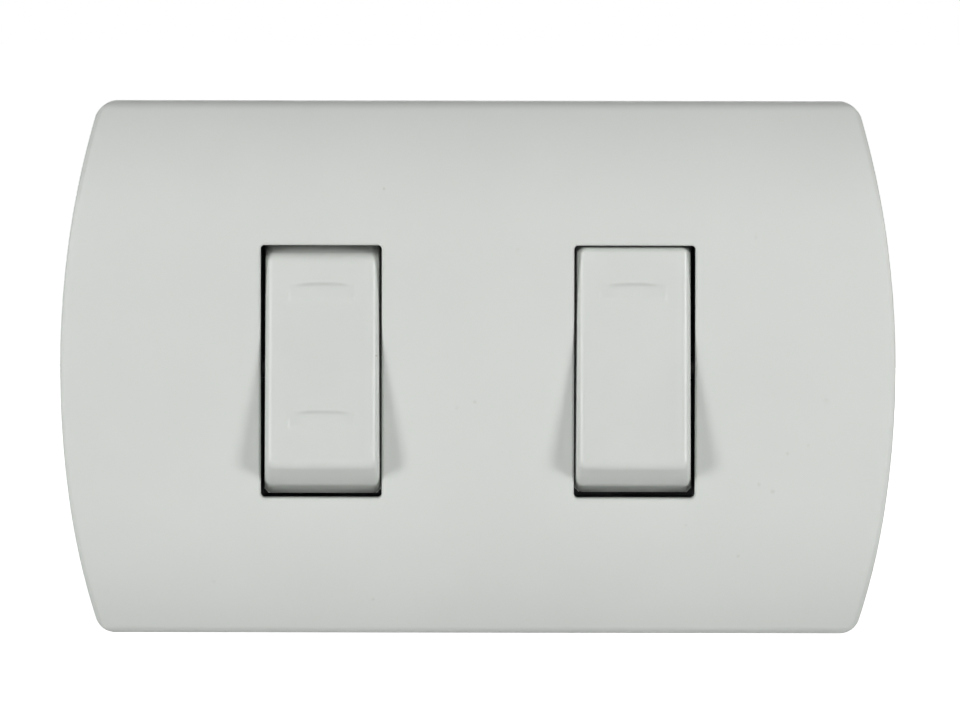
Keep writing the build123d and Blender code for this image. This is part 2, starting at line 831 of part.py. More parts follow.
os.makedirs("parts", exist_ok=True)
save(cover_plate.part, "cover_plate")
save(mounting_frame.part, "mounting_frame")
save(box_screws.part, "box_screws")

all_ends = (1, -1)
modules = (
    ("left", -module_x, all_ends, (mark_upper, -mark_lower)),
    ("right", module_x, (-1,), (mark_upper,)),
)
rocker_ends = {
    "left": (two_way_top_run, rocker_edge_radius, two_way_end_flare),
    "right": (one_way_top_run, one_way_top_radius, rocker_end_flare),
}
for side, centre_x, ends, marks in modules:
    heights = [0] + [end * terminal_offset for end in ends]
    save(make_rocker(centre_x, marks, *rocker_ends[side]), f"{side}_rocker")
    save(make_plunger(centre_x), f"{side}_plunger")
    save(make_spring(centre_x), f"{side}_spring")
    save(make_cradle(centre_x), f"{side}_cradle")
    save(make_base(centre_x, heights), f"{side}_base")
    save(make_blade(centre_x), f"{side}_blade")
    save(make_blade_contacts(centre_x, ends), f"{side}_blade_contacts")
    save(make_fixed_contacts(centre_x, ends), f"{side}_fixed_contacts")
    save(make_common_terminal(centre_x), f"{side}_common_terminal")
    for end in ends:
        place = "upper" if end > 0 else "lower"
        save(make_contact_terminal(centre_x, end), f"{side}_{place}_terminal")
    save(make_terminal_screws(centre_x, heights), f"{side}_terminal_screws")
    save(make_wire_clamps(centre_x, heights), f"{side}_wire_clamps")
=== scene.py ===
import bpy
import bmesh
import json
from math import cos, pi, radians, sin, tan
from mathutils import Matrix, Vector

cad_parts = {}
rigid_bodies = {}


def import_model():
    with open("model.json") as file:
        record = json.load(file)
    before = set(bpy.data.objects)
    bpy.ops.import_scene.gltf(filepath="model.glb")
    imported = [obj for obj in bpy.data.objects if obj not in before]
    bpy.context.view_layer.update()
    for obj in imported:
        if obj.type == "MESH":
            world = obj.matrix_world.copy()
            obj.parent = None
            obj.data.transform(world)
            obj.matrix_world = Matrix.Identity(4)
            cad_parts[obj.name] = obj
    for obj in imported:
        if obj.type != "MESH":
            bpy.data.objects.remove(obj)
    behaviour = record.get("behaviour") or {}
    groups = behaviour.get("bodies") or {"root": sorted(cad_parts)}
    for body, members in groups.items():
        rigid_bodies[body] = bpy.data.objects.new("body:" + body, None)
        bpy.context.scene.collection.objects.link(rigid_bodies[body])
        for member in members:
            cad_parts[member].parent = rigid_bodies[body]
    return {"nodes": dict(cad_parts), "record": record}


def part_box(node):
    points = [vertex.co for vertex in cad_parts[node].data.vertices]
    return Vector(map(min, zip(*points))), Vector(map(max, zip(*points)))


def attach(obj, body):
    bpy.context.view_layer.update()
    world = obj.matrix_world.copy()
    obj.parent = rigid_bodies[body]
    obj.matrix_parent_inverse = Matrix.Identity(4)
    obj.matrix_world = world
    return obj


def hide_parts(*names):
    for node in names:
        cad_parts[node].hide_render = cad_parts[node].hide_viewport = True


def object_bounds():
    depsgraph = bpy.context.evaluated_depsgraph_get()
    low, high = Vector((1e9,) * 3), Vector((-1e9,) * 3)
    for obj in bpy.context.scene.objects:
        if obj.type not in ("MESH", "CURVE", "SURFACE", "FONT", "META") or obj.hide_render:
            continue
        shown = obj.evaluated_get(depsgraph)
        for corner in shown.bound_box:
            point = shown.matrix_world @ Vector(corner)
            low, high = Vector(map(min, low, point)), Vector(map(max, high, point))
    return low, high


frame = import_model()
cadBox = [list(corner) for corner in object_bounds()]
print("frame loaded, nodes:", len(frame["nodes"]))

scene = bpy.context.scene
scene.view_settings.view_transform = "Standard"
for spare in [o for o in bpy.data.objects if o.type in {"CAMERA", "LIGHT"} or o.name == "Cube"]:
    bpy.data.objects.remove(spare)
perMetre = 1000.0  # millimetres


def addObject(name, data):
    thing = bpy.data.objects.new(name, data)
    scene.collection.objects.link(thing)
    return thing


# the picture is 960 x 711 and shows the plate nearly square on
photo = {
    "width": 960,
    "pixelsPerMetre": 6967.0,  # on the plate's front
    "middle": (480.0, 355.5),
    "windowsMiddle": (477.9, 372.0),  # where the middle of the plate's front falls
    "distance": 1.2,
    "elevation": 4.6,
    "roll": 0.1,
    "sensor": 36.0,
    "clip": 0.05,
}
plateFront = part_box("cover_plate")[0].y


def makeCamera(spec):
    lens = bpy.data.cameras.new("photoCamera")
    lens.sensor_fit = "HORIZONTAL"
    lens.sensor_width = spec["sensor"]
    lens.lens = spec["pixelsPerMetre"] * spec["distance"] * lens.sensor_width / spec["width"]
    lens.clip_start = spec["clip"]
    camera = addObject("photoCamera", lens)
    tip = radians(spec["elevation"])
    back = Vector((0.0, -cos(tip), sin(tip)))
    up = Vector((0.0, sin(tip), cos(tip)))
    right = Vector((1.0, 0.0, 0.0))
    aside = (spec["middle"][0] - spec["windowsMiddle"][0]) / spec["pixelsPerMetre"]
    above = (spec["windowsMiddle"][1] - spec["middle"][1]) / spec["pixelsPerMetre"]
    aim = Vector((0.0, plateFront, 0.0)) + right * aside + up * above
    turn = Matrix((right, up, back)).transposed().to_4x4()
    roll = Matrix.Rotation(radians(spec["roll"]), 4, "Z")
    camera.matrix_world = Matrix.Translation(aim + back * spec["distance"]) @ turn @ roll
    scene.camera = camera


makeCamera(photo)
print("camera placed")

# two tall soft boxes rake the plate from its sides, one wide screen fills from the front,
# and another lights what faces the wall
sideBoxes = {
    "angle": 50.0,
    "distance": 0.9,
    "height": 0.0,
    "width": 0.24,
    "tall": 0.5,
    "power": 6.1,
}
frontScreen = {"distance": -1.0, "height": 0.15, "width": 1.0, "tall": 1.1, "power": 1.9}
backScreen = {"distance": 1.0, "height": 0.1, "width": 1.4, "tall": 1.0, "power": 4.0}


def makeSoftBox(name, place, spec):
    lamp = bpy.data.lights.new(name, "AREA")
    lamp.shape = "RECTANGLE"
    lamp.size = spec["width"]
    lamp.size_y = spec["tall"]
    lamp.energy = spec["power"]
    box = addObject(name, lamp)
    box.visible_camera = False
    turn = place.to_track_quat("Z", "Y").to_matrix().to_4x4()
    box.matrix_world = Matrix.Translation(place) @ turn


for name, hand in (("softBoxLeft", -1), ("softBoxRight", 1)):
    turn = radians(sideBoxes["angle"])
    place = Vector((hand * sin(turn), -cos(turn), 0.0)) * sideBoxes["distance"]
    place.z = sideBoxes["height"]
    makeSoftBox(name, place, sideBoxes)
for name, screen in (("frontScreen", frontScreen), ("backScreen", backScreen)):
    makeSoftBox(name, Vector((0.0, screen["distance"], screen["height"])), screen)
print("lamps set")


def feed(tree, value, socket):
    if isinstance(value, bpy.types.NodeSocket):
        tree.links.new(value, socket)
    else:
        socket.default_value = value


def addNode(tree, kind, settings=None, values=None):
    node = tree.nodes.new(kind)
    for name, value in (settings or {}).items():
        setattr(node, name, value)
    for name, value in (values or {}).items():
        feed(tree, value, node.inputs[name])
    return node


def calc(tree, operation, first, second=0.0, clamp=False):
    settings = {"operation": operation, "use_clamp": clamp}
    return addNode(tree, "ShaderNodeMath", settings, {0: first, 1: second}).outputs[0]


def blend(tree, factor, first, second):
    values = {0: factor, 6: first, 7: second}
    return addNode(tree, "ShaderNodeMix", {"data_type": "RGBA"}, values).outputs[2]


def between(tree, value, low, high, lowest=0.0, highest=1.0):
    node = addNode(
        tree,
        "ShaderNodeMapRange",
        {"interpolation_type": "SMOOTHSTEP"},
        {"Value": value, "From Min": low, "From Max": high, "To Min": lowest, "To Max": highest},
    )
    return node.outputs["Result"]


def noise(tree, vector, scale, detail, roughness):
    values = {"Vector": vector, "Scale": scale, "Detail": detail, "Roughness": roughness}
    return addNode(tree, "ShaderNodeTexNoise", None, values).outputs["Fac"]


def scaleFor(tree, size):
    # texture scale for details of a size in mm
    return calc(tree, "DIVIDE", 1.0, size)


def millimetres(tree):
    # object coordinates in mm, so that sizes read as they are on the part
    place = addNode(tree, "ShaderNodeTexCoord").outputs["Object"]
    values = {0: place, "Scale": perMetre}
    return addNode(tree, "ShaderNodeVectorMath", {"operation": "SCALE"}, values).outputs["Vector"]


def startGroup(name, inputs, outputs):
    group = bpy.data.node_groups.new(name, "ShaderNodeTree")
    sockets = group.interface
    for label, kind, value in inputs:
        sockets.new_socket(label, in_out="INPUT", socket_type=kind).default_value = value
    for label, kind in outputs:
        sockets.new_socket(label, in_out="OUTPUT", socket_type=kind)
    given = group.nodes.new("NodeGroupInput").outputs
    return group, given, group.nodes.new("NodeGroupOutput").inputs


colourKind, floatKind = "NodeSocketColor", "NodeSocketFloat"


def makeMouldedSkin():
    # plastic as it leaves the mould: slow flow shades, uneven gloss and a fine grain
    group, given, out = startGroup(
        "mouldedSkin",
        [
            ("Colour", colourKind, (0.6, 0.6, 0.6, 1.0)),
            ("Flow Colour", colourKind, (0.55, 0.55, 0.55, 1.0)),
            ("Flow Size", floatKind, 25.0),
            ("Grain Size", floatKind, 0.3),
            ("Roughness Low", floatKind, 0.38),
            ("Roughness High", floatKind, 0.5),
        ],
        [("Colour", colourKind), ("Roughness", floatKind), ("Grain", floatKind)],
    )
    place = millimetres(group)
    flow = noise(group, place, scaleFor(group, given["Flow Size"]), detail=3.0, roughness=0.55)
    flow = between(group, flow, low=0.3, high=0.7)
    feed(group, blend(group, flow, given["Colour"], given["Flow Colour"]), out["Colour"])
    gloss = noise(group, place, scale=0.35, detail=4.0, roughness=0.6)
    ends = {"lowest": given["Roughness Low"], "highest": given["Roughness High"]}
    feed(group, between(group, gloss, low=0.3, high=0.7, **ends), out["Roughness"])
    grain = noise(group, place, scaleFor(group, given["Grain Size"]), detail=2.0, roughness=0.55)
    feed(group, grain, out["Grain"])
    return group


def makeEdgeRubAndSheen():
    # corners that hands, drivers or rubbing have polished, broken up by noise; on metal the
    # lighter colour is worn metal, on plastic it is a painted highlight along the edges, with real
    # polish in the roughness
    group, given, out = startGroup(
        "edgeRubAndSheen",
        [("Reach", floatKind, 0.0004), ("Break Size", floatKind, 1.5), ("Amount", floatKind, 1.0)],
        [("Mask", floatKind)],
    )
    rounded = addNode(group, "ShaderNodeBevel", {"samples": 6}, {"Radius": given["Reach"]})
    straight = addNode(group, "ShaderNodeNewGeometry").outputs["Normal"]
    normals = {0: rounded.outputs["Normal"], 1: straight}
    match = addNode(group, "ShaderNodeVectorMath", {"operation": "DOT_PRODUCT"}, normals)
    edge = between(group, match.outputs["Value"], low=0.995, high=0.86)
    size = scaleFor(group, given["Break Size"])
    broken = noise(group, millimetres(group), size, detail=4.0, roughness=0.6)
    rubbedAndSheen = calc(group, "MULTIPLY", edge, between(group, broken, low=0.35, high=0.62))
    feed(group, calc(group, "MULTIPLY", rubbedAndSheen, given["Amount"], clamp=True), out["Mask"])
    return group


def makeDust():
    # small stray specks, a few to the square centimetre
    group, given, out = startGroup(
        "dust",
        [
            ("Spacing", floatKind, 4.0),
            ("Speck Size", floatKind, 0.06),
            ("Amount", floatKind, 1.0),
        ],
        [("Mask", floatKind)],
    )
    values = {"Vector": millimetres(group), "Scale": scaleFor(group, given["Spacing"])}
    cells = addNode(group, "ShaderNodeTexVoronoi", {"feature": "F1"}, values)
    pick = addNode(group, "ShaderNodeSeparateColor", None, {0: cells.outputs["Color"]})
    size = calc(group, "MULTIPLY", given["Speck Size"], pick.outputs[0])
    past = calc(group, "SUBTRACT", cells.outputs["Distance"], size)
    speck = between(group, past, low=0.02, high=-0.02)
    some = between(group, pick.outputs[1], low=0.55, high=0.75)
    chosen = calc(group, "MULTIPLY", speck, some)
    feed(group, calc(group, "MULTIPLY", chosen, given["Amount"], clamp=True), out["Mask"])
    return group


def makeSpeck():
    # one spot of dirt on the front at a place in mm, with a ragged outline
    group, given, out = startGroup(
        "speck",
        [
            ("Across", floatKind, 0.0),
            ("Up", floatKind, 0.0),
            ("Radius", floatKind, 0.3),
            ("Amount", floatKind, 0.5),
        ],
        [("Mask", floatKind)],
    )
    place = millimetres(group)
    apart = addNode(group, "ShaderNodeSeparateXYZ", None, {0: place})
    ragged = noise(group, place, scale=2.6, detail=3.0, roughness=0.65)
    ragged = calc(group, "SUBTRACT", ragged, 0.5)  # to both sides of nothing
    ragged = calc(group, "MULTIPLY", ragged, 2.2)
    aside = calc(group, "SUBTRACT", apart.outputs["X"], given["Across"])
    above = calc(group, "SUBTRACT", apart.outputs["Z"], given["Up"])
    square = calc(group, "ADD", calc(group, "POWER", aside, 2.0), calc(group, "POWER", above, 2.0))
    far = calc(group, "DIVIDE", calc(group, "POWER", square, 0.5), given["Radius"])
    spot = between(group, calc(group, "ADD", far, ragged), low=1.1, high=0.3)
    feed(group, calc(group, "MULTIPLY", spot, given["Amount"], clamp=True), out["Mask"])
    return group


def makeMetalSkin():
    # drawn or plated metal: rolling lines, dull patches and uneven gloss
    group, given, out = startGroup(
        "metalSkin",
        [
            ("Colour", colourKind, (0.6, 0.6, 0.6, 1.0)),
            ("Dull Colour", colourKind, (0.4, 0.4, 0.4, 1.0)),
            ("Patch Size", floatKind, 3.0),
            ("Line Size", floatKind, 0.25),
            ("Roughness Low", floatKind, 0.22),
            ("Roughness High", floatKind, 0.45),
        ],
        [("Colour", colourKind), ("Roughness", floatKind), ("Lines", floatKind)],
    )
    place = millimetres(group)
    patch = noise(group, place, scaleFor(group, given["Patch Size"]), detail=5.0, roughness=0.62)
    patch = between(group, patch, low=0.36, high=0.68)
    feed(group, blend(group, patch, given["Colour"], given["Dull Colour"]), out["Colour"])
    ends = {"lowest": given["Roughness Low"], "highest": given["Roughness High"]}
    feed(group, between(group, patch, low=0.0, high=1.0, **ends), out["Roughness"])
    stretch = {0: place, 1: (1.0, 1.0, 0.06)}  # the lines run up the part
    drawn = addNode(group, "ShaderNodeVectorMath", {"operation": "MULTIPLY"}, stretch)
    size = scaleFor(group, given["Line Size"])
    lines = noise(group, drawn.outputs["Vector"], size, detail=3.0, roughness=0.6)
    feed(group, lines, out["Lines"])
    return group


mouldedSkin = makeMouldedSkin()
edgeRubAndSheen = makeEdgeRubAndSheen()
dust = makeDust()
speck = makeSpeck()
metalSkin = makeMetalSkin()
print("shared finishes made")


def srgb(red, green, blue):
    # a colour as it is read on screen, 0 to 255, to linear light
    linear = []
    for shade in (red / 255.0, green / 255.0, blue / 255.0):
        linear.append(shade / 12.92 if shade <= 0.04 else ((shade + 0.055) / 1.055) ** 2.4)
    return (*linear, 1.0)


def grey(value):
    return (value, value, value, 1.0)


def startMaterial(name):
    material = bpy.data.materials.new(name)
    material.use_nodes = True
    tree = material.node_tree
    return material, tree, tree.nodes["Principled BSDF"]


def useGroup(tree, group, values):
    return addNode(tree, "ShaderNodeGroup", {"node_tree": group}, values).outputs


def rubAndSheenMask(tree, spec):
    values = {"Reach": spec["rubAndSheenReach"], "Break Size": spec["rubAndSheenBreak"], "Amount": spec["rubAndSheen"]}
    return useGroup(tree, edgeRubAndSheen, values)["Mask"]


def bump(tree, shader, height, strength, distance, rounding=0.0):
    values = {"Strength": strength, "Distance": distance, "Height": height}
    node = addNode(tree, "ShaderNodeBump", None, values)
    if rounding:
        rounded = addNode(tree, "ShaderNodeBevel", {"samples": 8}, {"Radius": rounding})
        tree.links.new(rounded.outputs["Normal"], node.inputs["Normal"])
    tree.links.new(node.outputs["Normal"], shader.inputs["Normal"])


grainDepth = 0.00002


def makePlastic(name, spec):
    material, tree, shader = startMaterial(name)
    skin = useGroup(
        tree,
        mouldedSkin,
        {
            "Colour": srgb(*spec["colour"]),
            "Flow Colour": srgb(*spec["flow"]),
            "Flow Size": spec["flowSize"],
            "Grain Size": spec["grainSize"],
            "Roughness Low": spec["gloss"][0],
            "Roughness High": spec["gloss"][1],
        },
    )
    rubAndSheen = rubAndSheenMask(tree, spec)
    # painted highlight: plastic edges are painted a lighter colour where the light catches them
    wornAndSheen = blend(tree, rubAndSheen, skin["Colour"], srgb(*spec["rubAndSheenColour"]))
    if "pins" in spec:
        # painted shade: what stands out of the flanks, down in the gaps beside the rockers, is
        # painted dark
        pins = spec["pins"]
        place = addNode(tree, "ShaderNodeSeparateXYZ", None, {0: millimetres(tree)})
        aside = calc(tree, "ABSOLUTE", place.outputs["X"])
        aside = calc(tree, "ABSOLUTE", calc(tree, "SUBTRACT", aside, pins["module"]))
        pinShaded = between(tree, aside, pins["flank"], pins["flank"] + pins["fade"])
        wornAndSheen = blend(tree, pinShaded, wornAndSheen, srgb(*pins["pinShade"]))
    values = {
        "Spacing": spec["dustSpacing"],
        "Speck Size": spec["dustSize"],
        "Amount": spec["dust"],
    }
    soil = useGroup(tree, dust, values)["Mask"]
    for across, up, radius, amount in spec["specks"]:
        values = {"Across": across, "Up": up, "Radius": radius, "Amount": amount}
        soil = calc(tree, "MAXIMUM", soil, useGroup(tree, speck, values)["Mask"])
    feed(tree, blend(tree, soil, wornAndSheen, srgb(*spec["dustColour"])), shader.inputs["Base Color"])
    rough = blend(tree, rubAndSheen, skin["Roughness"], grey(spec["rubGloss"]))
    feed(tree, rough, shader.inputs["Roughness"])
    shader.inputs["Specular IOR Level"].default_value = spec["shine"]
    bump(tree, shader, skin["Grain"], spec["grain"], grainDepth, spec["rounding"])
    return material


def makeMetal(name, spec):
    material, tree, shader = startMaterial(name)
    skin = useGroup(
        tree,
        metalSkin,
        {
            "Colour": srgb(*spec["colour"]),
            "Dull Colour": srgb(*spec["dull"]),
            "Patch Size": spec["patch"],
            "Line Size": spec["lineSize"],
            "Roughness Low": spec["gloss"][0],
            "Roughness High": spec["gloss"][1],
        },
    )
    rubAndSheen = rubAndSheenMask(tree, spec)
    wornAndSheen = blend(tree, rubAndSheen, skin["Colour"], srgb(*spec["rubAndSheenColour"]))
    feed(tree, wornAndSheen, shader.inputs["Base Color"])
    rough = blend(tree, rubAndSheen, skin["Roughness"], grey(spec["rubGloss"]))
    feed(tree, rough, shader.inputs["Roughness"])
    shader.inputs["Metallic"].default_value = 1.0
    bump(tree, shader, skin["Lines"], spec["lines"], grainDepth)
    return material


# specks of dirt on the fronts: across and up in mm, radius, how dark
plateSpecks = [
    (-13.5, 26.3, 0.3, 0.4),
    (39.8, 19.4, 0.4, 0.14),
    (5.7, 17.6, 0.35, 0.12),
    (-3.0, -5.2, 0.4, 0.13),
    (-0.4, -4.3, 0.32, 0.3),
    (44.5, -11.7, 0.32, 0.26),
    (47.5, -10.5, 0.3, 0.18),
    (40.4, -16.2, 0.35, 0.25),
    (42.4, -17.2, 0.4, 0.33),
    (37.5, -26.6, 0.33, 0.26),
    (30.0, -22.0, 0.25, 0.22),
    (-38.0, -30.6, 0.4, 0.15),
    (-15.0, -33.2, 0.3, 0.25),
    (50.0, -4.0, 0.6, 0.12),
]
rockerSpecks = [(-14.55, 2.4, 0.22, 0.9)]
plateFinish = {
    "colour": (204, 207, 203),
    "flow": (207, 210, 206),
    "flowSize": 40.0,
    "grainSize": 0.22,
    "gloss": (0.44, 0.52),
    "grain": 0.12,
    "rubAndSheen": 0.25,
    "rubAndSheenReach": 0.0003,
    "rubAndSheenBreak": 1.2,
    "rubGloss": 0.3,
    # painted highlight: the lighter colour along the plate's and rockers' edges
    "rubAndSheenColour": (214, 216, 212),
    "dust": 0.35,
    "dustSpacing": 9.0,
    "dustSize": 0.02,
    "dustColour": (176, 178, 172),
    "shine": 0.45,
    "rounding": 0.0006,
    "specks": plateSpecks,
}
rockerFinish = dict(
    plateFinish,
    gloss=(0.3, 0.36),
    flowSize=18.0,
    grain=0.08,
    rubAndSheen=0.15,
    rounding=0.0,
    specks=rockerSpecks,
    # painted shade on the pins in the side gaps
    pins={"module": 22.35, "flank": 8.4, "fade": 0.05, "pinShade": (44, 42, 38)},
)
frameFinish = dict(
    plateFinish,
    specks=[],
    colour=(188, 191, 188),
    flow=(180, 184, 181),
    flowSize=22.0,
    grainSize=0.4,
    gloss=(0.55, 0.68),
    grain=0.3,
    rubAndSheen=0.5,
    rubAndSheenColour=(204, 206, 203),
    dust=0.6,
    dustSpacing=5.0,
)
baseFinish = dict(
    frameFinish,
    colour=(70, 71, 74),
    flow=(60, 61, 64),
    flowSize=14.0,
    gloss=(0.5, 0.66),
    rubAndSheenColour=(104, 105, 107),
    dustColour=(128, 126, 120),
)
cradleFinish = dict(
    baseFinish,
    colour=(62, 63, 65),
    flow=(54, 55, 57),
    gloss=(0.5, 0.62),
    grain=0.18,
)
plungerFinish = dict(
    frameFinish,
    colour=(222, 219, 208),
    flow=(212, 208, 196),
    rubAndSheenColour=(230, 228, 220),
    grain=0.1,
)
springFinish = {
    "colour": (190, 191, 194),
    "dull": (150, 150, 152),
    "patch": 1.4,
    "lineSize": 0.1,
    "gloss": (0.2, 0.36),
    "lines": 0.15,
    "rubAndSheen": 0.4,
    "rubAndSheenReach": 0.0002,
    "rubAndSheenBreak": 0.6,
    "rubGloss": 0.18,
    "rubAndSheenColour": (214, 214, 216),
}
brassFinish = dict(
    springFinish,
    colour=(214, 180, 106),
    dull=(170, 132, 70),
    patch=4.0,
    lineSize=0.25,
    rubAndSheenColour=(236, 206, 138),
    lines=0.3,
)
silverFinish = dict(
    springFinish,
    colour=(226, 225, 221),
    dull=(186, 182, 172),
    patch=0.9,
    rubAndSheenColour=(240, 239, 236),
)
boxScrewFinish = dict(
    springFinish,
    colour=(200, 200, 194),
    dull=(156, 154, 142),
    patch=2.2,
    rubAndSheenColour=(222, 222, 218),
    rubAndSheen=0.7,
)
terminalScrewFinish = dict(boxScrewFinish, dull=(164, 158, 134), patch=1.6)
clampFinish = dict(
    boxScrewFinish,
    colour=(192, 192, 188),
    dull=(150, 148, 140),
    patch=3.0,
    lineSize=0.2,
    lines=0.3,
)

finishes = {
    "plate": makePlastic("platePlastic", plateFinish),
    "rocker": makePlastic("rockerPlastic", rockerFinish),
    "frame": makePlastic("framePlastic", frameFinish),
    "cradle": makePlastic("cradlePlastic", cradleFinish),
    "base": makePlastic("basePlastic", baseFinish),
    "plunger": makePlastic("plungerPlastic", plungerFinish),
    "spring": makeMetal("springWire", springFinish),
    "brass": makeMetal("stampedBrass", brassFinish),
    "silver": makeMetal("contactSilver", silverFinish),
    "box_screw": makeMetal("boxScrewZinc", boxScrewFinish),
    "terminal_screw": makeMetal("terminalScrewZinc", terminalScrewFinish),
    "clamp": makeMetal("clampZinc", clampFinish),
}
slotOf = {piece["node"]: piece["material_slot"] for piece in frame["record"]["subparts"]}
for nodeName, part in frame["nodes"].items():
    finish = finishes[slotOf[nodeName]]
    if part.material_slots:
        for place in part.material_slots:
            place.material = finish
    else:
        part.data.materials.append(finish)
print("finishes laid on:", len(frame["nodes"]))


def placePiece(name, mesh, slotName, bodyName, nodeName):
    piece = addObject(name, mesh)
    mesh.materials.append(finishes[slotName])
    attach(piece, bodyName)
    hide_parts(nodeName)


def meshFrom(work, name):
    mesh = bpy.data.meshes.new(name)
    work.to_mesh(mesh)
    work.free()
    return mesh


def shadeSmooth(mesh, sharp):
    for face in mesh.polygons:
        face.use_smooth = True
    mesh.set_sharp_from_angle(angle=radians(sharp))


def clamped(share):
    return min(1.0, max(0.0, share))


def ease(share):
    share = clamped(share)
    return share * share * (3 - 2 * share)


# rockers with rounded rims and soft finger marks, in mm about the pivot:
# x across, then up the front and out of the wall in the side view
rockerShape = {
    "pivot": 1.5,
    "module": 22.35,
    "tilt": 9.0,
    "length": 34.84,
    "rise": 10.2,
    "skirt": 1.5,
    "halfFront": 8.15,
    "draft": 1.5,
    "bevelRun": 2.42,
    "bevelDrop": 4.63,
    "edgeRadius": 1.7,
    "creaseRadius": 3.5,
    "rim": 1.2,
    "step": 0.16,
    "arcSteps": 8,
    "footSteps": 6,
    "skin": 0.6,  # solid faces this near the outside give way to the rounded skin
    "flank": 0.25,  # and so do those this near a side wall
    "skirtEdge": 0.02,
    "level": 0.9999,  # the front is where the side view's normal is this upright
    "sharp": 40.0,
}
rockerEnds = {
    "left": {"hand": -1, "topRun": 2.1, "topRadius": 1.7, "flare": 0.9, "marks": (9.8, -8.6)},
    "right": {"hand": 1, "topRun": 1.03, "topRadius": 0.9, "flare": 0.7, "marks": (9.8,)},
}
# a low ridge across the lower part, and a lip that fades out to both ends above it
fingerMark = {
    "width": 9.8,
    "height": 3.3,
    "ridge": 0.2,
    "ridgeRise": 2.5,
    "ridgeFall": 1.15,
    "endRun": 0.44,
    "lip": 0.26,
    "lipHalf": 4.4,
    "lipFade": 2.6,
    "lipRise": 0.6,
    "lipFall": 2.2,
    "arch": 0.35,
}


def markHeight(x, up, spec):
    half = spec["height"] / 2
    ridge = spec["ridge"] * clamped((spec["width"] / 2 - abs(x)) / spec["endRun"])
    ridge *= ease((half - up) / spec["ridgeRise"])
    ridge *= ease((up + half) / spec["ridgeFall"])
    below = half - spec["arch"] * (2 * x / spec["width"]) ** 2 - up
    lip = spec["lip"] * ease((spec["lipHalf"] - abs(x)) / spec["lipFade"])
    lip *= ease(below / spec["lipRise"])
    return ridge + lip * (1 - ease((below - spec["lipRise"]) / spec["lipFall"]))


def roundedPath(corners, radii, spec):
    # the side view as close points with their outward normals
    path = []
    start = corners[0]
    for before, corner, after, radius in zip(corners, corners[1:], corners[2:], radii):
        back = (before - corner).normalized()
        onward = (after - corner).normalized()
        halfAngle = back.angle(onward) / 2
        first = corner + back * (radius / tan(halfAngle))
        centre = corner + (back + onward).normalized() * (radius / sin(halfAngle))
        along = (first - start).normalized()
        count = max(1, int((first - start).length / spec["step"]))
        for point in range(count):
            path.append((start.lerp(first, point / count), Vector((-along.y, along.x))))
        swing = pi - 2 * halfAngle
        x, y = first - centre
        for turn in range(spec["arcSteps"]):
            angle = -swing * turn / spec["arcSteps"]
            spoke = Vector((x * cos(angle) - y * sin(angle), x * sin(angle) + y * cos(angle)))
            path.append((centre + spoke, spoke.normalized()))
        start = corner + onward * (radius / tan(halfAngle))
    foot = corners[-1]
    along = (foot - start).normalized()
    for point in range(spec["footSteps"] + 1):
        path.append((start.lerp(foot, point / spec["footSteps"]), Vector((-along.y, along.x))))
    return path


def makeRocker(name, nodeName, shape, ends):
    crease = shape["length"] / 2
    creaseRise = shape["rise"] - shape["bevelDrop"]
    corners = [
        Vector((-crease - ends["flare"], shape["skirt"])),
        Vector((-crease, creaseRise)),
        Vector((shape["bevelRun"] - crease, shape["rise"])),
        Vector((crease - ends["topRun"], shape["rise"])),
        Vector((crease, creaseRise)),
        Vector((crease + ends["flare"], shape["skirt"])),
    ]
    radii = [shape["creaseRadius"], shape["edgeRadius"], ends["topRadius"], shape["creaseRadius"]]
    path = roundedPath(corners, radii, shape)
    turn = radians(shape["tilt"])
    pivot = Vector((ends["hand"] * shape["module"], -shape["pivot"], 0.0))
    up = Vector((0.0, sin(turn), cos(turn)))
    out = Vector((0.0, -cos(turn), sin(turn)))

    def halfAt(rise):
        return shape["halfFront"] + (shape["rise"] - rise) * tan(radians(shape["draft"]))

    # the solid keeps its inside, its ears and its pins
    work = bmesh.new()
    work.from_mesh(frame["nodes"][nodeName].data)
    shed = []
    skirtTop = shape["skirt"] + shape["skirtEdge"]
    for face in work.faces:
        away = face.calc_center_median() * perMetre - pivot
        spot = Vector((away.dot(up), away.dot(out)))
        half = halfAt(spot.y)
        onFlank = spot.y > skirtTop and abs(abs(away.x) - half) < shape["flank"]
        if onFlank or (
            abs(away.x) < half
            and min((spot - point).length for point, _ in path) < shape["skin"]
        ):
            shed.append(face)
    bmesh.ops.delete(work, geom=shed, context="FACES")
    # the rounded skin, row by row along the side view
    arc = [radians(90.0 * share / shape["arcSteps"]) for share in range(1, shape["arcSteps"] + 1)]
    count = int(2 * (shape["halfFront"] - shape["rim"]) / shape["step"])
    rows = []
    for point, normal in path:
        flat = halfAt(point.y) - shape["rim"]
        rim = [(flat + shape["rim"] * sin(a), shape["rim"] * (1 - cos(a))) for a in arc]
        across = [(-x, deep) for x, deep in reversed(rim)]
        across += [(flat * (2 * column / count - 1), 0.0) for column in range(count + 1)]
        across += rim
        row = []
        for x, deep in across:
            spot = point - normal * deep
            if normal.y > shape["level"]:
                heights = [markHeight(x, point.x - mark, fingerMark) for mark in ends["marks"]]
                spot = spot + normal * sum(heights)
            place = pivot + Vector((x, 0, 0)) + up * spot.x + out * spot.y
            row.append(work.verts.new(place / perMetre))
        rows.append(row)
    for first, second in zip(rows, rows[1:]):
        for a, b, c, d in zip(first, first[1:], second[1:], second):
            work.faces.new((a, b, c, d))
    work.faces.new([row[0] for row in rows])
    work.faces.new([row[-1] for row in reversed(rows)])
    mesh = meshFrom(work, name)
    shadeSmooth(mesh, shape["sharp"])
    placePiece(name, mesh, "rocker", nodeName, nodeName)


for hand in ("left", "right"):
    makeRocker(hand + "RockerBody", hand + "_rocker", rockerShape, rockerEnds[hand])
print("rockers rounded")

# round spring wire, with closed turns at both ends and room for the plunger's stroke
coil = {
    "tilt": 9.0,
    "wire": 0.000225,
    "radius": 0.00155,
    "length": 0.0045,
    "lift": 0.000425,
    "turns": 7,
    "closing": 0.75,
    "aroundWire": 10,
    "aroundTurn": 28,
}


